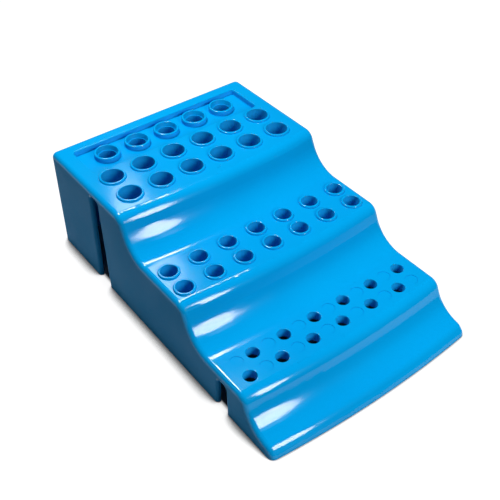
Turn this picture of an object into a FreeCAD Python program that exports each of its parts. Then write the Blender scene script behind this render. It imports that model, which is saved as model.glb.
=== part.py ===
import FreeCAD, Part
import math
import os
import Sketcher
from FreeCAD import Placement, Rotation, Vector

# A stepped rack for small laboratory tubes, moulded in one piece as a hollow shell that is open below.
# Frame: X across the rack, +Y towards its tall back, +Z up, origin at the middle of its foot on the bench.

doc = FreeCAD.newDocument("tube_rack")

# Driving dimensions in millimetres and degrees. Every sketch and feature below is bound to these cells.
SIZES = [
    ("footWidth", 120.6, "outside width at the bench"),
    ("footDepth", 189.2, "outside depth at the bench, to the crown of the bowed front"),
    ("bowRadius", 587.0, "radius in plan of the bowed front"),
    ("draftAngle", 0.72, "lean of every outside wall"),
    ("softEdge", 2.7, "rounding between the top and the walls"),
    ("cornerExtra", 0.3, "how much larger the radius of the four corners is in plan"),
    ("wallThickness", 2.2, "thickness of walls and top"),
    ("lowTop", 21.8, "height of the front tier"),
    ("middleStep", 18.2, "rise from the front tier to the middle tier"),
    ("highStep", 18.1, "rise from the middle tier to the back tier"),
    ("highEdge", 121.2, "where the back tier starts to round over, from the foot's front"),
    ("middleEdge", 70.7, "where the middle tier starts to round over, from the foot's front"),
    ("lowEdge", 25.0, "where the front tier starts to round over, from the foot's front"),
    ("crestRadius", 6.3, "rounding at the front of each tier"),
    ("highFoot", 18.0, "hollow radius at the foot of the back tier"),
    ("middleFoot", 18.2, "hollow radius at the foot of the middle tier"),
    ("lowFoot", 17.6, "hollow radius at the foot of the front tier"),
    ("riserAngle", 65.0, "steepest slope between two tiers"),
    ("lowRiserAngle", 66.0, "steepest slope of the front tier"),
    ("lipTop", 6.0, "height at which the last slope turns over into the lip"),
    ("lipSlope", 9.0, "slope there"),
    ("lipRadius", 5.1, "rounding of the lip"),
    ("lipTurn", 50.0, "slope at which the lip meets the front wall"),
    ("recessSide", 9.7, "from each side at the bench to the bed sunk round the back row"),
    ("recessBack", 8.6, "from the back at the bench to that bed"),
    ("recessLength", 22.1, "length of the bed from back to front"),
    ("recessDepth", 3.0, "depth of the bed"),
    ("recessCorner", 1.5, "radius in plan of its corners"),
    ("recessRound", 0.6, "rounding along its upper edge"),
    ("rimRise", 1.0, "height of the rims above the back and middle tiers"),
    ("bedRimDrop", 0.2, "how far the back row's rims lie below the back tier"),
    ("rimWall", 1.25, "thickness of a rim"),
    ("rimRound", 0.7, "rounding outside a rim"),
    ("leadIn", 0.35, "rounding inside a rim"),
    ("largeBore", 11.3, "sockets of the back tier"),
    ("ledgeBore", 10.1, "what the back row's mouths taper to, at a small ledge"),
    ("stepBore", 9.4, "narrow part of those sockets, below the ledge"),
    ("stepDepth", 2.6, "depth of the ledge below the rim"),
    ("mediumBore", 8.3, "sockets of the middle tier"),
    ("smallBore", 6.5, "sockets of the front tier"),
    ("largePitch", 18.0, "spacing of the large sockets"),
    ("mediumPitch", 17.0, "spacing of the medium sockets"),
    ("smallPitch", 18.0, "spacing of the small sockets, twice the spacing of the marks between them"),
    ("backRow", 18.1, "the row in the bed, from the back at the bench"),
    ("secondRow", 149.8, "this row and those below, from the foot's front"),
    ("thirdRow", 132.9, ""),
    ("fourthRow", 92.0, ""),
    ("fifthRow", 78.9, ""),
    ("sixthRow", 42.0, ""),
    ("frontRow", 32.0, ""),
    ("largeSleeve", 14.0, "reach of a large socket's sleeve below its rim"),
    ("mediumSleeve", 12.0, "reach of a medium socket's sleeve"),
    ("smallSleeve", 4.0, "reach of a small socket's sleeve below the middle of the top's thickness"),
    ("markDepth", 0.25, "depth of the round marks between the small sockets"),
    ("slotMiddle", 144.6, "middle of the back slot in each side wall, from the foot's front"),
    ("slotWidth", 7.3, "width of that slot at its top"),
    ("slotCover", 3.9, "what stands above it, up to the back tier"),
    ("lowSlotMiddle", 39.2, "middle of the front slot, from the foot's front"),
    ("lowSlotWidth", 6.5, "width of the front slot at its top"),
    ("lowSlotCover", 4.8, "what stands above it, up to the front tier"),
    ("slotLean", 1.4, "lean of each long edge of a slot, which widens it towards the bench"),
    ("slotCorner", 2.0, "radius of the slots' top corners"),
    ("slotRound", 1.4, "rounding along the slots' outer edges"),
]

# What follows from them: levels above the bench, and places from the middle of the foot.
WORKED_OUT = [
    ("cornerRadius", "softEdge + cornerExtra", "radius in plan of the four corners"),
    ("middleTop", "lowTop + middleStep", "height of the middle tier"),
    ("highTop", "middleTop + highStep", "height of the back tier"),
    ("slotTop", "highTop - slotCover", "height of the back slots"),
    ("lowSlotTop", "lowTop - lowSlotCover", "height of the front slots"),
    ("bowAxis", "bowRadius - footDepth / 2", "axis of the bowed front and of the bowed tiers"),
    ("bedHalf", "footWidth / 2 - recessSide", "half the bed's width"),
    ("bedBack", "footDepth / 2 - recessBack", "its back edge"),
    ("bedFront", "bedBack - recessLength", "its front edge"),
    ("backRowPlace", "footDepth / 2 - backRow", ""),
]
for alias in ("highEdge", "middleEdge", "lowEdge", "secondRow", "thirdRow", "fourthRow", "fifthRow",
              "sixthRow", "frontRow", "slotMiddle", "lowSlotMiddle"):
    WORKED_OUT.append((alias + "Place", alias + " - footDepth / 2", ""))

sheet = doc.addObject("Spreadsheet::Sheet", "Sizes")
cells = SIZES + [(alias, "=" + formula, note) for alias, formula, note in WORKED_OUT]
for number, (alias, content, note) in enumerate(cells, start=1):
    sheet.set(f"A{number}", note or alias)
    sheet.set(f"B{number}", str(content))
    sheet.setAlias(f"B{number}", alias)
doc.recompute()
size = {alias: float(sheet.get(alias)) for alias, content, note in cells}

reach = 25.0  # how far cutting tools run past the rack
sweep = 40.0  # degrees that the bowed tiers are swept about the far axis, more than the rack is wide
headroom = 5.0  # how much taller the block is than the rack before its tiers are cut
footBand = 1.0  # edges lower than this are the foot, which stays sharp
slack = 0.01  # allowed when a face's lean is compared with the draft


def originItem(body, role):
    for item in body.Origin.OriginFeatures:
        if item.Role == role:
            return item


def newSketch(body, name, role, **offset):
    """A sketch on one of the body's own origin planes, moved in the plane's x, y and z by expressions."""
    sketch = body.newObject("Sketcher::SketchObject", name)
    sketch.AttachmentSupport = [(originItem(body, role), "")]
    sketch.MapMode = "FlatFace"
    for axis, expression in offset.items():
        sketch.setExpression("AttachmentOffset.Base." + axis, expression)
    return sketch


def line(sketch, start, end, construction=False):
    return sketch.addGeometry(Part.LineSegment(Vector(*start, 0), Vector(*end, 0)), construction)


def arc(sketch, centre, radius, fromDegrees, toDegrees):
    circle = Part.Circle(Vector(*centre, 0), Vector(0, 0, 1), radius)
    bend = Part.ArcOfCircle(circle, math.radians(fromDegrees), math.radians(toDegrees))
    return sketch.addGeometry(bend, False)


def bind(sketch, constraint, name, expression):
    """Adds a constraint whose value follows an expression on the sheet."""
    number = sketch.addConstraint(constraint)
    sketch.renameConstraint(number, name)
    sketch.setExpression("Constraints." + name, expression)


def polar(centre, radius, degrees):
    angle = math.radians(degrees)
    return centre[0] + radius * math.cos(angle), centre[1] + radius * math.sin(angle)


def outline(body, name, inset, insetValue):
    """The footprint: straight back and sides and a bowed front, all set in by the inset."""
    half = size["footWidth"] / 2 - insetValue
    back = size["footDepth"] / 2 - insetValue
    axis = size["bowAxis"]
    bow = size["bowRadius"] - insetValue
    lean = math.degrees(math.asin(half / bow))  # how far round the bow each front corner lies
    nose = polar((0, axis), bow, 270 - lean)[1]

    sketch = newSketch(body, name, "XY_Plane")
    rear = line(sketch, (half, back), (-half, back))
    left = line(sketch, (-half, back), (-half, nose))
    front = arc(sketch, (0, axis), bow, 270 - lean, 270 + lean)
    right = line(sketch, (half, nose), (half, back))
    loop = [rear, left, front, right]
    for one, other in zip(loop, loop[1:] + loop[:1]):
        sketch.addConstraint(Sketcher.Constraint("Coincident", one, 2, other, 1))
    sketch.addConstraint(Sketcher.Constraint("Horizontal", rear))
    sketch.addConstraint(Sketcher.Constraint("Vertical", left))
    sketch.addConstraint(Sketcher.Constraint("Vertical", right))
    sketch.addConstraint(Sketcher.Constraint("PointOnObject", front, 3, -2))
    bind(sketch, Sketcher.Constraint("DistanceX", -1, 1, right, 1, half), "halfWidth",
         f"Sizes.footWidth / 2 - {inset}")
    bind(sketch, Sketcher.Constraint("DistanceX", left, 1, -1, 1, half), "otherHalf",
         f"Sizes.footWidth / 2 - {inset}")
    bind(sketch, Sketcher.Constraint("DistanceY", -1, 1, rear, 1, back), "backHalf",
         f"Sizes.footDepth / 2 - {inset}")
    bind(sketch, Sketcher.Constraint("DistanceY", -1, 1, front, 3, axis), "bowCentre", "Sizes.bowAxis")
    bind(sketch, Sketcher.Constraint("Radius", front, bow), "bow", f"Sizes.bowRadius - {inset}")
    return sketch


TIERS = [
    # upper level, lower level, edge, hollow radius, slope
    ("highTop", "middleTop", "highEdge", "highFoot", "riserAngle"),
    ("middleTop", "lowTop", "middleEdge", "middleFoot", "riserAngle"),
    ("lowTop", None, "lowEdge", "lowFoot", "lowRiserAngle"),
]


def stairs(body, name, inset, insetValue):
    """Side view of what is cut away above the tiers: flats, rounded crests, straight risers, hollow feet."""
    axis = size["bowAxis"]
    crest = size["crestRadius"] - insetValue
    sketch = newSketch(body, name, "YZ_Plane")
    behind = size["footDepth"] / 2 + reach
    chain = []
    cursor = (behind, size["highTop"] - insetValue)
    for number, (upper, lower, edge, foot, slope) in enumerate(TIERS):
        level = size[upper] - insetValue
        angle = size[slope]
        hollow = size[foot] + insetValue
        start = size[edge + "Place"]
        centre = (start, level - crest)
        top = polar(centre, crest, 90)
        brow = polar(centre, crest, 90 + angle)
        if lower:
            endAngle = 0.0
            endLevel = size[lower] - insetValue
        else:
            endAngle = size["lipSlope"]
            endLevel = size["lipTop"] - insetValue * math.cos(math.radians(endAngle))
        turned = math.cos(math.radians(endAngle)) - math.cos(math.radians(angle))
        drop = (brow[1] - endLevel - hollow * turned) / math.sin(math.radians(angle))
        toe = polar(brow, drop, 180 + angle)
        footCentre = polar(toe, hollow, 90 + angle)
        flat = line(sketch, cursor, top)
        brink = arc(sketch, centre, crest, 90, 90 + angle)
        riser = line(sketch, toe, brow)
        bowl = arc(sketch, footCentre, hollow, 270 + endAngle, 270 + angle)
        cursor = polar(footCentre, hollow, 270 + endAngle)
        sketch.addConstraint(Sketcher.Constraint("Horizontal", flat))
        sketch.addConstraint(Sketcher.Constraint("Tangent", flat, 2, brink, 1))
        sketch.addConstraint(Sketcher.Constraint("Tangent", brink, 2, riser, 2))
        sketch.addConstraint(Sketcher.Constraint("Tangent", riser, 1, bowl, 2))
        if chain:
            sketch.addConstraint(Sketcher.Constraint("Tangent", chain[-1], 1, flat, 1))
        bind(sketch, Sketcher.Constraint("DistanceY", -1, 1, flat, 2, level), upper + "Level",
             f"Sizes.{upper} - {inset}")
        bind(sketch, Sketcher.Constraint("DistanceX", -1, 1, flat, 2, start), edge, f"Sizes.{edge}Place")
        bind(sketch, Sketcher.Constraint("Radius", brink, crest), f"crest{number}",
             f"Sizes.crestRadius - {inset}")
        bind(sketch, Sketcher.Constraint("Radius", bowl, hollow), foot, f"Sizes.{foot} + {inset}")
        bind(sketch, Sketcher.Constraint("Angle", riser, math.radians(angle)), f"slope{number}",
             f"Sizes.{slope} * 1 deg")
        chain.append(bowl)

    lip = size["lipRadius"] - insetValue
    lipCentre = polar(cursor, lip, 270 + size["lipSlope"])
    lipArc = arc(sketch, lipCentre, lip, 90 + size["lipSlope"], 90 + size["lipTurn"])
    end = polar(lipCentre, lip, 90 + size["lipTurn"])
    slope = math.tan(math.radians(size["lipTurn"]))
    outside = -size["footDepth"] / 2 - reach
    below = (outside, end[1] - (end[0] - outside) * slope)
    above = size["highTop"] + reach
    tail = line(sketch, below, end)
    rise = line(sketch, below, (outside, above))
    lid = line(sketch, (outside, above), (behind, above))
    shut = line(sketch, (behind, above), (behind, size["highTop"] - insetValue))
    sketch.addConstraint(Sketcher.Constraint("Tangent", chain[-1], 1, lipArc, 1))
    sketch.addConstraint(Sketcher.Constraint("Tangent", lipArc, 2, tail, 2))
    sketch.addConstraint(Sketcher.Constraint("Coincident", tail, 1, rise, 1))
    sketch.addConstraint(Sketcher.Constraint("Coincident", rise, 2, lid, 1))
    sketch.addConstraint(Sketcher.Constraint("Coincident", lid, 2, shut, 1))
    sketch.addConstraint(Sketcher.Constraint("Coincident", shut, 2, 0, 1))
    sketch.addConstraint(Sketcher.Constraint("Vertical", rise))
    sketch.addConstraint(Sketcher.Constraint("Horizontal", lid))
    sketch.addConstraint(Sketcher.Constraint("Vertical", shut))
    bind(sketch, Sketcher.Constraint("Radius", lipArc, lip), "lip", f"Sizes.lipRadius - {inset}")
    bind(sketch, Sketcher.Constraint("DistanceY", -1, 1, lipArc, 1, cursor[1]), "lipStart",
         f"Sizes.lipTop - {inset} * cos(Sizes.lipSlope * 1 deg)")
    bind(sketch, Sketcher.Constraint("DistanceY", -1, 1, lipArc, 3, lipCentre[1]), "lipMiddle",
         "Sizes.lipTop - Sizes.lipRadius * cos(Sizes.lipSlope * 1 deg)")
    bind(sketch, Sketcher.Constraint("Angle", tail, math.radians(size["lipTurn"])), "lipTurn",
         "Sizes.lipTurn * 1 deg")
    bind(sketch, Sketcher.Constraint("DistanceX", tail, 1, -1, 1, -outside), "outside",
         f"Sizes.footDepth / 2 + {reach}")
    bind(sketch, Sketcher.Constraint("DistanceX", -1, 1, shut, 1, behind), "behind",
         f"Sizes.footDepth / 2 + {reach}")
    bind(sketch, Sketcher.Constraint("DistanceY", -1, 1, lid, 1, above), "above", f"Sizes.highTop + {reach}")
    hinge = line(sketch, (axis, 0), (axis, above), True)
    sketch.addConstraint(Sketcher.Constraint("Vertical", hinge))
    sketch.addConstraint(Sketcher.Constraint("PointOnObject", hinge, 1, -1))
    bind(sketch, Sketcher.Constraint("DistanceX", -1, 1, hinge, 1, axis), "hinge", "Sizes.bowAxis")
    bind(sketch, Sketcher.Constraint("DistanceY", hinge, 1, hinge, 2, above), "hingeHeight",
         f"Sizes.highTop + {reach}")
    return sketch


def edgesWhere(shape, wanted):
    """Names of the edges whose two faces' outward normals, at the edge's middle, pass the test."""
    beside = {}
    for face in shape.Faces:
        for edge in face.Edges:
            beside.setdefault(edge.hashCode(), []).append(face)
    names = []
    for number, edge in enumerate(shape.Edges, start=1):
        faces = beside[edge.hashCode()]
        if len(faces) != 2:
            continue
        middle = edge.valueAt((edge.FirstParameter + edge.LastParameter) / 2)
        normals = [face.normalAt(*face.Surface.parameter(middle)) for face in faces]
        if wanted(middle, *sorted(normals, key=lambda normal: normal.z)):
            names.append(f"Edge{number}")
    return names


def isUpright(normal):
    """Whether a face is an outside wall, which leans only by the draft."""
    return abs(normal.z) < math.sin(math.radians(size["draftAngle"])) + slack


def isCorner(middle, lower, upper):
    return isUpright(lower) and isUpright(upper)


def isTopEdge(middle, lower, upper):
    """An edge between an outside wall and the top."""
    return isUpright(lower) and not isUpright(upper) and upper.z > 0 and middle.z > footBand


def isBedEdge(middle, lower, upper):
    """An edge between the back tier and the wall of the bed sunk into it."""
    return isUpright(lower) and upper.z > 1 - slack and middle.z > size["highTop"] - slack


def isSlotEdge(middle, lower, upper):
    """An edge where a slot leaves the outside of a side wall."""
    outward = [normal.x * middle.x > 0 and isUpright(normal) for normal in (lower, upper)]
    return sum(outward) == 1 and middle.z > footBand and not isTopEdge(middle, lower, upper)


def soften(body, name, base, wanted, radius):
    fillet = body.newObject("PartDesign::Fillet", name)
    fillet.Base = (base, edgesWhere(base.Shape, wanted))
    fillet.setExpression("Radius", radius)
    doc.recompute()
    return fillet


def shell(body, prefix, inset, insetValue, rounded):
    """The stepped block, set in by the inset on every side but its foot."""
    block = body.newObject("PartDesign::Pad", prefix + "Block")
    block.Profile = outline(body, prefix + "Outline", inset, insetValue)
    block.setExpression("Length", f"Sizes.highTop + {headroom}")
    block.setExpression("TaperAngle", "-Sizes.draftAngle")
    doc.recompute()
    if rounded:
        soften(body, prefix + "Corners", block, isCorner, "Sizes.cornerRadius")
    sketch = stairs(body, prefix + "Stairs", inset, insetValue)
    doc.recompute()
    cut = body.newObject("PartDesign::Groove", prefix + "Tiers")
    cut.Profile = sketch
    cut.ReferenceAxis = (sketch, ["Axis0"])
    cut.Angle = sweep
    cut.Midplane = True
    doc.recompute()
    if rounded:
        soften(body, prefix + "Edges", cut, isTopEdge, "Sizes.softEdge")


def pocket(body, name, sketch, depth, symmetric=False):
    cut = body.newObject("PartDesign::Pocket", name)
    cut.Profile = sketch
    cut.Midplane = symmetric
    cut.setExpression("Length", depth)
    doc.recompute()
    return cut


def bed(body, name, grow, growValue, depth):
    """A rounded rectangle sunk into the back tier, grown by a margin, down to a level."""
    half = size["bedHalf"] + growValue
    back = size["bedBack"] + growValue
    front = size["bedFront"] - growValue
    corner = size["recessCorner"] + growValue
    sketch = newSketch(body, name + "Outline", "XY_Plane", z="Sizes.highTop")
    top = line(sketch, (half - corner, back), (corner - half, back))
    leftTop = arc(sketch, (corner - half, back - corner), corner, 90, 180)
    left = line(sketch, (-half, back - corner), (-half, front + corner))
    leftLow = arc(sketch, (corner - half, front + corner), corner, 180, 270)
    low = line(sketch, (corner - half, front), (half - corner, front))
    rightLow = arc(sketch, (half - corner, front + corner), corner, 270, 360)
    right = line(sketch, (half, front + corner), (half, back - corner))
    rightTop = arc(sketch, (half - corner, back - corner), corner, 0, 90)
    loop = [top, leftTop, left, leftLow, low, rightLow, right, rightTop]
    for one, other in zip(loop, loop[1:] + loop[:1]):
        sketch.addConstraint(Sketcher.Constraint("Tangent", one, 2, other, 1))
    for flat in (top, low):
        sketch.addConstraint(Sketcher.Constraint("Horizontal", flat))
    for upright in (left, right):
        sketch.addConstraint(Sketcher.Constraint("Vertical", upright))
    for other in (leftLow, rightLow, rightTop):
        sketch.addConstraint(Sketcher.Constraint("Equal", leftTop, other))
    bind(sketch, Sketcher.Constraint("Radius", leftTop, corner), "corner", f"Sizes.recessCorner + {grow}")
    bind(sketch, Sketcher.Constraint("DistanceX", -1, 1, right, 1, half), "half", f"Sizes.bedHalf + {grow}")
    bind(sketch, Sketcher.Constraint("DistanceX", left, 1, -1, 1, half), "otherHalf",
         f"Sizes.bedHalf + {grow}")
    bind(sketch, Sketcher.Constraint("DistanceY", -1, 1, top, 1, back), "back", f"Sizes.bedBack + {grow}")
    bind(sketch, Sketcher.Constraint("DistanceY", -1, 1, low, 1, front), "front", f"Sizes.bedFront - {grow}")
    return pocket(body, name, sketch, depth)


def sideSlot(body, name, middle, width, top):
    """A slot through both side walls, open at the bench, wider there than at its rounded top."""
    corner = size["slotCorner"]
    lean = size["slotLean"]
    half = size[width] / 2
    foot = -size["wallThickness"]
    bend = math.radians(lean)
    # Middle of each corner's curve, placed so that the long edge's line meets the crown at half the width.
    centre = half - corner * (1 - math.sin(bend)) / math.cos(bend)
    touch = polar((centre, size[top] - corner), corner, lean)
    spread = touch[0] + (touch[1] - foot) * math.tan(bend)
    sketch = newSketch(body, name + "Outline", "YZ_Plane", x=f"Sizes.{middle}Place")
    near = line(sketch, (-spread, foot), (-touch[0], touch[1]))
    nearBend = arc(sketch, (-centre, size[top] - corner), corner, 90, 180 - lean)
    crown = line(sketch, (-centre, size[top]), (centre, size[top]))
    farBend = arc(sketch, (centre, size[top] - corner), corner, lean, 90)
    far = line(sketch, touch, (spread, foot))
    sill = line(sketch, (spread, foot), (-spread, foot))
    sketch.addConstraint(Sketcher.Constraint("Tangent", near, 2, nearBend, 2))
    sketch.addConstraint(Sketcher.Constraint("Tangent", nearBend, 1, crown, 1))
    sketch.addConstraint(Sketcher.Constraint("Tangent", crown, 2, farBend, 2))
    sketch.addConstraint(Sketcher.Constraint("Tangent", farBend, 1, far, 1))
    sketch.addConstraint(Sketcher.Constraint("Coincident", far, 2, sill, 1))
    sketch.addConstraint(Sketcher.Constraint("Coincident", sill, 2, near, 1))
    sketch.addConstraint(Sketcher.Constraint("Symmetric", nearBend, 3, farBend, 3, -2))
    sketch.addConstraint(Sketcher.Constraint("Symmetric", sill, 1, sill, 2, -2))
    sketch.addConstraint(Sketcher.Constraint("Equal", nearBend, farBend))
    bind(sketch, Sketcher.Constraint("Radius", nearBend, corner), "corner", "Sizes.slotCorner")
    bind(sketch, Sketcher.Constraint("DistanceY", -1, 1, crown, 1, size[top]), "top", f"Sizes.{top}")
    bind(sketch, Sketcher.Constraint("Angle", near, math.radians(90 - lean)), "lean",
         "90 deg - Sizes.slotLean * 1 deg")
    bind(sketch, Sketcher.Constraint("DistanceX", -1, 1, farBend, 3, centre), "middle",
         f"Sizes.{width} / 2 - Sizes.slotCorner * (1 - sin(Sizes.slotLean * 1 deg))"
         " / cos(Sizes.slotLean * 1 deg)")
    bind(sketch, Sketcher.Constraint("DistanceY", sill, 1, -1, 1, -foot), "below", "Sizes.wallThickness")
    return pocket(body, name, sketch, f"Sizes.footWidth + {reach}", symmetric=True)


ROWS = [
    # name, row, rim above its tier, tier, bore, pitch, sockets, sideways shift in pitches, sleeve
    ("back", "backRow", "-Sizes.bedRimDrop", "highTop", "largeBore", "largePitch", 5, 0, "largeSleeve"),
    ("second", "secondRow", "Sizes.rimRise", "highTop", "largeBore", "largePitch", 6, 0, "largeSleeve"),
    ("third", "thirdRow", "Sizes.rimRise", "highTop", "largeBore", "largePitch", 6, 0, "largeSleeve"),
    ("fourth", "fourthRow", "Sizes.rimRise", "middleTop", "mediumBore", "mediumPitch", 7, 0, "mediumSleeve"),
    ("fifth", "fifthRow", "Sizes.rimRise", "middleTop", "mediumBore", "mediumPitch", 7, 0, "mediumSleeve"),
    ("sixth", "sixthRow", "0", "lowTop", "smallBore", "smallPitch", 6, 0.25, "smallSleeve"),
    ("front", "frontRow", "0", "lowTop", "smallBore", "smallPitch", 6, -0.25, "smallSleeve"),
]


def firstPlace(count, shift, pitch):
    """Where a centred line of places begins, shifted by a part of a pitch."""
    return f"{shift - (count - 1) / 2} * Sizes.{pitch}"


def turnedFeature(body, kind, name, sketch):
    feature = body.newObject("PartDesign::" + kind, name)
    feature.Profile = sketch
    feature.ReferenceAxis = (sketch, ["V_Axis"])
    feature.Angle = 360.0
    return feature


def sleeve(body, name, place, bore, depth):
    """A round post about the socket's axis, with a rounded shoulder, from the rim to the sleeve's end."""
    radius = size[bore] / 2 + size["rimWall"]
    shoulder = size["rimRound"]
    low = -size[depth]
    sketch = newSketch(body, name + "Outline", "XZ_Plane", **place)
    axis = line(sketch, (0, 0), (0, low))
    floor = line(sketch, (0, low), (radius, low))
    side = line(sketch, (radius, low), (radius, -shoulder))
    bend = arc(sketch, (radius - shoulder, -shoulder), shoulder, 0, 90)
    rim = line(sketch, (radius - shoulder, 0), (0, 0))
    for one, other in ((axis, floor), (floor, side), (rim, axis)):
        sketch.addConstraint(Sketcher.Constraint("Coincident", one, 2, other, 1))
    sketch.addConstraint(Sketcher.Constraint("Tangent", side, 2, bend, 1))
    sketch.addConstraint(Sketcher.Constraint("Tangent", bend, 2, rim, 1))
    sketch.addConstraint(Sketcher.Constraint("Coincident", axis, 1, -1, 1))
    for upright in (axis, side):
        sketch.addConstraint(Sketcher.Constraint("Vertical", upright))
    for flat in (floor, rim):
        sketch.addConstraint(Sketcher.Constraint("Horizontal", flat))
    bind(sketch, Sketcher.Constraint("DistanceX", floor, 1, floor, 2, radius), "radius",
         f"Sizes.{bore} / 2 + Sizes.rimWall")
    bind(sketch, Sketcher.Constraint("DistanceY", axis, 2, axis, 1, -low), "length", f"Sizes.{depth}")
    bind(sketch, Sketcher.Constraint("Radius", bend, shoulder), "shoulder", "Sizes.rimRound")
    return turnedFeature(body, "Revolution", name, sketch)


def boreDown(body, name, place, bore, foot, depth, depthValue):
    """A round hole about the socket's axis, with a rounded mouth, from above its rim down to a depth.
    The bore is its width at the mouth and the foot its width at that depth."""
    radius = size[bore] / 2
    footRadius = size[foot] / 2
    mouth = size["leadIn"]
    low = -depthValue
    sketch = newSketch(body, name + "Outline", "XZ_Plane", **place)
    axis = line(sketch, (0, mouth), (0, low))
    floor = line(sketch, (0, low), (footRadius, low))
    side = line(sketch, (footRadius, low), (radius, -mouth))
    bend = arc(sketch, (radius + mouth, -mouth), mouth, 90, 180)
    brim = line(sketch, (radius + mouth, 0), (radius + mouth, mouth))
    lid = line(sketch, (radius + mouth, mouth), (0, mouth))
    for one, other in ((axis, floor), (brim, lid), (lid, axis)):
        sketch.addConstraint(Sketcher.Constraint("Coincident", one, 2, other, 1))
    sketch.addConstraint(Sketcher.Constraint("Coincident", floor, 2, side, 1))
    sketch.addConstraint(Sketcher.Constraint("Coincident", side, 2, bend, 2))
    sketch.addConstraint(Sketcher.Constraint("Coincident", bend, 1, brim, 1))
    sketch.addConstraint(Sketcher.Constraint("PointOnObject", axis, 1, -2))
    sketch.addConstraint(Sketcher.Constraint("PointOnObject", bend, 1, -1))
    for upright in (axis, brim):
        sketch.addConstraint(Sketcher.Constraint("Vertical", upright))
    for flat in (floor, lid):
        sketch.addConstraint(Sketcher.Constraint("Horizontal", flat))
    sketch.addConstraint(Sketcher.Constraint("Vertical", bend, 3, bend, 1))
    sketch.addConstraint(Sketcher.Constraint("Horizontal", bend, 3, bend, 2))
    bind(sketch, Sketcher.Constraint("DistanceX", -1, 1, bend, 2, radius), "radius", f"Sizes.{bore} / 2")
    bind(sketch, Sketcher.Constraint("DistanceX", floor, 1, floor, 2, footRadius), "foot",
         f"Sizes.{foot} / 2")
    bind(sketch, Sketcher.Constraint("Radius", bend, mouth), "mouth", "Sizes.leadIn")
    bind(sketch, Sketcher.Constraint("DistanceY", brim, 1, brim, 2, mouth), "above", "Sizes.leadIn")
    bind(sketch, Sketcher.Constraint("DistanceY", axis, 2, -1, 1, depthValue), "depth", depth)
    return turnedFeature(body, "Groove", name, sketch)


def repeatAcross(body, name, features, count, pitch):
    doc.recompute()
    pattern = body.newObject("PartDesign::LinearPattern", name)
    pattern.Originals = features
    pattern.Direction = (originItem(body, "X_Axis"), [""])
    pattern.Occurrences = count
    pattern.setExpression("Length", f"{count - 1} * Sizes.{pitch}")
    body.Tip = pattern
    doc.recompute()
    return pattern


def sockets(body, name, row, rise, tier, bore, pitch, count, shift, depth):
    """One row: a sleeve with its bore at the left end, repeated across the rack."""
    across = firstPlace(count, shift, pitch)
    place = {"x": across, "y": f"Sizes.{tier} + {rise}", "z": f"-Sizes.{row}Place"}
    sunk = dict(place, y=f"Sizes.{tier} - Sizes.wallThickness / 2") if rise == "0" else place
    features = [sleeve(body, name + "Sleeve", sunk, bore, depth)]
    doc.recompute()
    foot = bore
    below = f"Sizes.{depth} + Sizes.wallThickness"
    belowValue = size[depth] + size["wallThickness"]
    if row == "backRow":
        features.append(boreDown(body, name + "Narrow", place, "stepBore", "stepBore", below, belowValue))
        doc.recompute()
        foot, below, belowValue = "ledgeBore", "Sizes.stepDepth", size["stepDepth"]
    features.append(boreDown(body, name + "Bore", place, bore, foot, below, belowValue))
    return repeatAcross(body, name + "Row", features, count, pitch)


def marks(body, name, row, count, shift):
    """Shallow round marks where a front row has no socket."""
    sketch = newSketch(body, name + "Outline", "XY_Plane", x=firstPlace(count, shift, "smallPitch"),
                       y=f"Sizes.{row}Place", z="Sizes.lowTop")
    circle = sketch.addGeometry(Part.Circle(Vector(0, 0, 0), Vector(0, 0, 1), size["smallBore"] / 2), False)
    sketch.addConstraint(Sketcher.Constraint("Coincident", circle, 3, -1, 1))
    bind(sketch, Sketcher.Constraint("Diameter", circle, size["smallBore"]), "bore", "Sizes.smallBore")
    mark = pocket(body, name, sketch, "Sizes.markDepth")
    return repeatAcross(body, name + "Row", [mark], count, "smallPitch")


body = doc.addObject("PartDesign::Body", "rack_body")
body.Label = "rack_body"
shell(body, "outer", "0", 0.0, rounded=True)
sunken = bed(body, "bed", "0", 0.0, "Sizes.recessDepth")
soften(body, "bedEdges", sunken, isBedEdge, "Sizes.recessRound")

core = doc.addObject("PartDesign::Body", "core")
core.Label = "hollow_core"
shell(core, "core", "Sizes.wallThickness", size["wallThickness"], rounded=False)
bed(core, "coreBed", "Sizes.wallThickness", size["wallThickness"], "Sizes.recessDepth + Sizes.wallThickness")

hollow = body.newObject("PartDesign::Boolean", "hollow")
hollow.Type = "Cut"
hollow.setObjects([core])
doc.recompute()

sideSlot(body, "slot", "slotMiddle", "slotWidth", "slotTop")
lastSlot = sideSlot(body, "lowSlot", "lowSlotMiddle", "lowSlotWidth", "lowSlotTop")
soften(body, "slotEdges", lastSlot, isSlotEdge, "Sizes.slotRound")

for name, row, rise, tier, bore, pitch, count, shift, depth in ROWS:
    sockets(body, name, row, rise, tier, bore, pitch, count, shift, depth)
marks(body, "sixthMarks", "sixthRow", 6, -0.25)
marks(body, "frontMarks", "frontRow", 6, 0.25)
body.Placement = Placement(Vector(0, 0, 0), Rotation())
doc.recompute()

os.makedirs("parts", exist_ok=True)
for item in doc.Objects:
    if "Invalid" in item.State or "Error" in item.State:
        raise RuntimeError(f"{item.Name} failed: {item.State}")
if body.Shape.isNull() or not body.Shape.isValid():
    raise RuntimeError(f"{body.Label} has no valid shape")
body.Shape.exportStep(f"parts/{body.Label}.step")
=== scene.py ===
import math
import bpy
import numpy as np
from mathutils import Matrix, Vector


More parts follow.
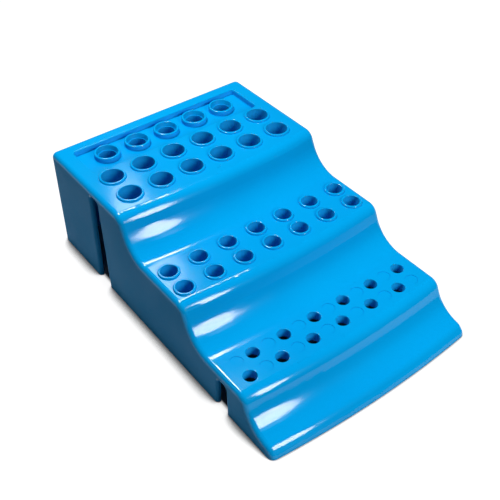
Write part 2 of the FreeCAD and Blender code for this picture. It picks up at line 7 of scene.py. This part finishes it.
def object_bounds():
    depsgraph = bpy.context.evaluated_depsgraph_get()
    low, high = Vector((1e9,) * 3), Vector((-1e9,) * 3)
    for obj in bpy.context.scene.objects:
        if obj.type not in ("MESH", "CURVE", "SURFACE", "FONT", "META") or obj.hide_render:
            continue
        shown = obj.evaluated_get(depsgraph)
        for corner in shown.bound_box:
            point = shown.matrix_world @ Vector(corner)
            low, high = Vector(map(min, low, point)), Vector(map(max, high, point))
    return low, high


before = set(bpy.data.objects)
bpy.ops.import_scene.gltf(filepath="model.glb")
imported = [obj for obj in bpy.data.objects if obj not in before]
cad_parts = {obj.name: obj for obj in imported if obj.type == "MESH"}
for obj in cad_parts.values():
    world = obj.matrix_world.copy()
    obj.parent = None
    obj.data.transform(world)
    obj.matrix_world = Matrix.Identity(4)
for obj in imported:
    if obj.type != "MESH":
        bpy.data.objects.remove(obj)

# A stepped blue tube rack, one glossy moulding, on a white table under five soft lamps.
# Metres throughout: +X along the rows, +Y towards the tall back tier, +Z up.

cadLow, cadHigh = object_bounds()
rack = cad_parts["rack_body"]
rackMiddle = (cadLow + cadHigh) / 2
print("frame loaded")


# Puts an object into the scene and hands it back.
def link(item):
    bpy.context.scene.collection.objects.link(item)
    return item


# A short way to add shader nodes: add(kind, {socket: value or output}, setting=value).
# The calls below it add one kind of node each and hand back its output.
class Nodes:
    def __init__(self, owner):
        owner.use_nodes = True
        self.tree = owner.node_tree
        self.tree.nodes.clear()

    def add(self, kind, inputs=(), **settings):
        node = self.tree.nodes.new(kind)
        for key, value in settings.items():
            setattr(node, key, value)
        for key, value in dict(inputs).items():
            if isinstance(value, bpy.types.NodeSocket):
                self.tree.links.new(value, node.inputs[key])
            else:
                node.inputs[key].default_value = value
        return node

    def maths(self, operation, *values):
        return self.add("ShaderNodeMath", dict(enumerate(values)), operation=operation).outputs[0]

    def vectors(self, operation, *values, output=0):
        node = self.add("ShaderNodeVectorMath", dict(enumerate(values)), operation=operation)
        return node.outputs[output]

    def noise(self, place, scale, detail=2.0):
        node = self.add("ShaderNodeTexNoise", {"Vector": place, "Scale": scale, "Detail": detail})
        return node.outputs["Fac"]

    # Straight line from (low, toLow) to (high, toHigh), held at its ends.
    def remap(self, value, low, high, toLow, toHigh):
        return self.add("ShaderNodeMapRange", {"Value": value, "From Min": low, "From Max": high,
                                               "To Min": toLow, "To Max": toHigh}).outputs["Result"]


plastic = {
    "deep": (0.0, 0.338, 0.765, 1.0),   # blue where the moulding is a little denser
    "light": (0.0, 0.362, 0.80, 1.0),   # and where it is a little paler
    "cloud": 14.0,                      # changes of colour per metre
    "cloudEdge": (0.35, 0.65),          # noise at which the colour is deep, and light
    "gloss": (0.08, 0.12),              # roughness of the top, in clean and in handled places
    "wallGloss": (0.64, 0.72),          # the same on the side walls
    "wallLean": (0.05, 0.4),            # upward part of the normal, on a wall and on the top
    "smear": 38.0,                      # handled places per metre
    "smearEdge": (0.4, 0.7),            # noise at which a place is clean, and handled
    "peel": 420.0,                      # grains of the moulded skin per metre
    "peelDepth": 0.000006,              # their depth in metres
    "wave": 30.0,                       # slow waves of the moulded walls per metre
    "waveDepth": 0.00005,               # their depth in metres
    "specular": 0.28,                   # strength of reflections, where 0.5 is what the ior gives
    "ior": 1.49,
    "gate": (0.0015, 0.0299, 0.0),      # scar where the plastic entered the mould
    "gateSize": (0.00072, 0.0012),      # radius of its flat middle and of its edge, in metres
    "gateHeight": 0.0003,
    "gateGrain": 900.0,                 # grains of its broken surface per metre
    "gateEdge": (0.4, 0.6),             # noise at which the scar is lowest, and highest
    "gateLow": 0.2,                     # its lowest part, as a share of its height
}


# Moulded plastic: a blue that drifts slightly, fine orange peel over slow sink waves, roughness
# that rises in cloudy patches where hands have been and on the walls, and one round gate scar.
def gloss(values):
    material = bpy.data.materials.new("mouldedBlue")
    nodes = Nodes(material)
    texture = nodes.add("ShaderNodeTexCoord").outputs
    place = texture["Object"]

    drift = nodes.remap(nodes.noise(place, values["cloud"]), *values["cloudEdge"], 0.0, 1.0)
    colour = nodes.add("ShaderNodeMix", {"Factor": drift, 6: values["deep"], 7: values["light"]},
                       data_type="RGBA").outputs[2]

    upward = nodes.add("ShaderNodeSeparateXYZ", {0: texture["Normal"]}).outputs["Z"]
    top = nodes.remap(nodes.maths("ABSOLUTE", upward), *values["wallLean"], 0.0, 1.0)
    clouds = nodes.noise(place, values["smear"], 3.0)
    onTop = nodes.remap(clouds, *values["smearEdge"], *values["gloss"])
    onWall = nodes.remap(clouds, *values["smearEdge"], *values["wallGloss"])
    rough = nodes.add("ShaderNodeMix", {0: top, 2: onWall, 3: onTop}).outputs[0]

    wave = nodes.maths("MULTIPLY", nodes.noise(place, values["wave"], 0.0), values["waveDepth"])
    peel = nodes.maths("MULTIPLY", nodes.noise(place, values["peel"], 1.0), values["peelDepth"])
    flat = nodes.vectors("MULTIPLY", place, (1.0, 1.0, 0.0))
    away = nodes.vectors("DISTANCE", flat, values["gate"], output="Value")
    scar = nodes.remap(away, *values["gateSize"], values["gateHeight"], 0.0)
    broken = nodes.remap(nodes.noise(place, values["gateGrain"]), *values["gateEdge"],
                         values["gateLow"], 1.0)
    scar = nodes.maths("MULTIPLY", scar, broken)
    height = nodes.maths("ADD", nodes.maths("ADD", wave, peel), scar)
    skin = nodes.add("ShaderNodeBump", {"Height": height, "Distance": 1.0,
                                        "Strength": 1.0}).outputs[0]

    shader = nodes.add("ShaderNodeBsdfPrincipled", {
        "Base Color": colour, "Roughness": rough, "Normal": skin,
        "IOR": values["ior"], "Specular IOR Level": values["specular"]})
    nodes.add("ShaderNodeOutputMaterial", {"Surface": shader.outputs[0]})
    return material


rack.material_slots[0].material = gloss(plastic)
print("plastic done")


floor = {
    "reach": 6.0,                 # half size of the table in metres
    "colour": (0.24, 0.24, 0.24, 1.0),
    # painted pool of light: the table's glow is strongest round the rack and weaker far from it
    "lift": 0.90,                 # brightness added in the bright part of the table
    "far": 0.25,                  # brightness added far from it
    "paintedPool": (0.10, 0.12, 0.0),    # middle of the bright part
    "fade": (0.31, 1.2),          # metres from there at which it starts to fade and has faded
    # painted contact shadow: the table's glow is darkened where the rack stands close over it
    "shade": 0.012,               # metres within which the table looks for things over it
    "open": (0.52, 0.75),         # share of open sky where the added brightness starts and is full
    # painted shade: below the rack's footprint the table's glow is switched off
    "under": (0.0, 0.0065, 0.0),  # middle of the part below the rack, where nothing is added
    "underSize": (0.0575, 0.0865, 0.0),  # and its half size
    "underEdge": 0.002,           # width of its soft border in metres
}


# Flat square sheet under the rack: x and y run evenly over it and z is constant. Where the eye, a
# reflection or a ray through glass meets it, it glows by open sky * outside the part below *
# paintedPool.
# This glow carries painted light and shade: a painted contact shadow where the rack hides the sky,
# painted shade below the rack, and a painted pool of light round it.
def tableTop(values):
    material = bpy.data.materials.new("whiteTable")
    nodes = Nodes(material)
    path = nodes.add("ShaderNodeLightPath").outputs
    seen = nodes.maths("MAXIMUM", path["Is Camera Ray"],
                       nodes.maths("MAXIMUM", path["Is Glossy Ray"], path["Is Transmission Ray"]))
    # Painted contact shadow: the glow is dimmed where ambient occlusion finds the rack close by.
    sky = nodes.add("ShaderNodeAmbientOcclusion", {"Distance": values["shade"]},
                    samples=16).outputs["AO"]
    paintedShadowMask = nodes.remap(sky, *values["open"], 0.0, 1.0)

    # Painted shade below the rack: the glow fades to nothing inside its footprint.
    place = nodes.add("ShaderNodeTexCoord").outputs["Object"]
    beyond = nodes.vectors("ABSOLUTE", nodes.vectors("SUBTRACT", place, values["under"]))
    beyond = nodes.vectors("SUBTRACT", beyond, values["underSize"])
    beyond = nodes.add("ShaderNodeSeparateXYZ", {0: beyond}).outputs
    outside = nodes.maths("MAXIMUM", beyond["X"], beyond["Y"])
    paintedShadowMask = nodes.maths("MULTIPLY", paintedShadowMask, nodes.remap(outside, 0.0, values["underEdge"], 0.0, 1.0))

    # Painted pool of light: the glow is lift near the middle and drops to far further out.
    away = nodes.vectors("DISTANCE", place, values["paintedPool"], output="Value")
    paintedPool = nodes.remap(away, *values["fade"], values["lift"], values["far"])
    lift = nodes.maths("MULTIPLY", nodes.maths("MULTIPLY", seen, paintedShadowMask), paintedPool)
    glow = nodes.add("ShaderNodeEmission", {"Strength": lift})
    paint = nodes.add("ShaderNodeBsdfDiffuse", {"Color": values["colour"]})
    both = nodes.add("ShaderNodeAddShader", {0: paint.outputs[0], 1: glow.outputs[0]})
    nodes.add("ShaderNodeOutputMaterial", {"Surface": both.outputs[0]})

    count = 5  # points along each side
    side = np.linspace(-values["reach"], values["reach"], count)
    x, y = np.meshgrid(side, side, indexing="ij")
    points = np.stack([x, y, np.full_like(x, cadLow.z)], -1).reshape(-1, 3)
    corner = (np.arange(count - 1)[:, None] * count + np.arange(count - 1)).ravel()
    faces = np.stack([corner, corner + count, corner + count + 1, corner + 1], -1)
    mesh = bpy.data.meshes.new("table")
    mesh.from_pydata(points.tolist(), [], faces.tolist())
    mesh.materials.append(material)
    mesh.update()
    return link(bpy.data.objects.new("table", mesh))


tableTop(floor)

# Each lamp: azimuth from +Y towards +X and elevation in degrees, distance, width and height in
# metres, turn about its own axis in degrees, power in watts.
studio = {
    "overhead": (-14.0, 67.0, 0.43, 0.10, 0.10, 0.0, 1.31),
    "frontStrip": (168.8, 31.3, 0.594, 0.102, 0.32, -8.0, 2.30),
    "frontTop": (157.0, 51.0, 1.3, 0.09, 0.30, -25.0, 0.16),
    "backStrip": (25.2, 44.0, 1.3, 0.085, 0.37, 18.0, 0.76),
    "backTop": (34.4, 58.6, 1.23, 0.13, 0.16, 30.0, 1.75),
}


# An oval white lamp on a sphere round the rack. Its place is the rack's middle plus distance times
# (sin azimuth * cos elevation, cos azimuth * cos elevation, sin elevation), and it faces the middle.
def softLamp(name, azimuth, elevation, distance, width, height, turn, power):
    lamp = bpy.data.lights.new(name, "AREA")
    lamp.shape = "ELLIPSE"
    lamp.size, lamp.size_y = width, height
    lamp.energy = power
    around, up = math.radians(azimuth), math.radians(elevation)
    outward = Vector((math.sin(around) * math.cos(up), math.cos(around) * math.cos(up),
                      math.sin(up)))
    aim = outward.to_track_quat("Z", "Y").to_matrix().to_4x4()
    item = link(bpy.data.objects.new(name, lamp))
    item.matrix_world = (Matrix.Translation(rackMiddle + outward * distance) @ aim
                         @ Matrix.Rotation(math.radians(turn), 4, "Z"))


for name, values in studio.items():
    softLamp(name, *values)

room = {
    "fill": (0.03, 0.03, 0.03, 1.0),  # light from all round
}


# A dark room: one dim even grey all round.
def darkRoom(values):
    world = bpy.data.worlds.new("darkRoom")
    bpy.context.scene.world = world
    nodes = Nodes(world)
    glow = nodes.add("ShaderNodeBackground", {"Color": values["fill"]})
    nodes.add("ShaderNodeOutputWorld", {"Surface": glow.outputs[0]})


darkRoom(room)
print("table and lamps done")

view = {
    "place": (-0.18847, -0.25085, 0.30345),  # in metres
    "heading": -36.614,   # turn about the upright, in degrees
    "pitch": -41.681,     # tilt up from level, so below 0 it looks down
    "roll": -0.811,       # turn about its own axis
    "lens": 59.81,        # millimetres
    "sensor": 36.0,       # width of the sensor in millimetres
    "clip": (0.01, 50.0),  # nearest and farthest distance seen, in metres
}


# A level camera turned by its heading, then its pitch, then its roll about its own axis.
def camera(values):
    data = bpy.data.cameras.new("camera")
    data.sensor_width, data.lens = values["sensor"], values["lens"]
    data.clip_start, data.clip_end = values["clip"]
    item = link(bpy.data.objects.new("camera", data))
    upright = Matrix.Rotation(math.radians(values["heading"]), 4, "Z")
    tilt = Matrix.Rotation(math.radians(90.0 + values["pitch"]), 4, "X")
    roll = Matrix.Rotation(math.radians(values["roll"]), 4, "Z")
    item.matrix_world = Matrix.Translation(values["place"]) @ upright @ tilt @ roll
    bpy.context.scene.camera = item


camera(view)
bpy.context.scene.view_settings.view_transform = "Standard"

print("scene done")
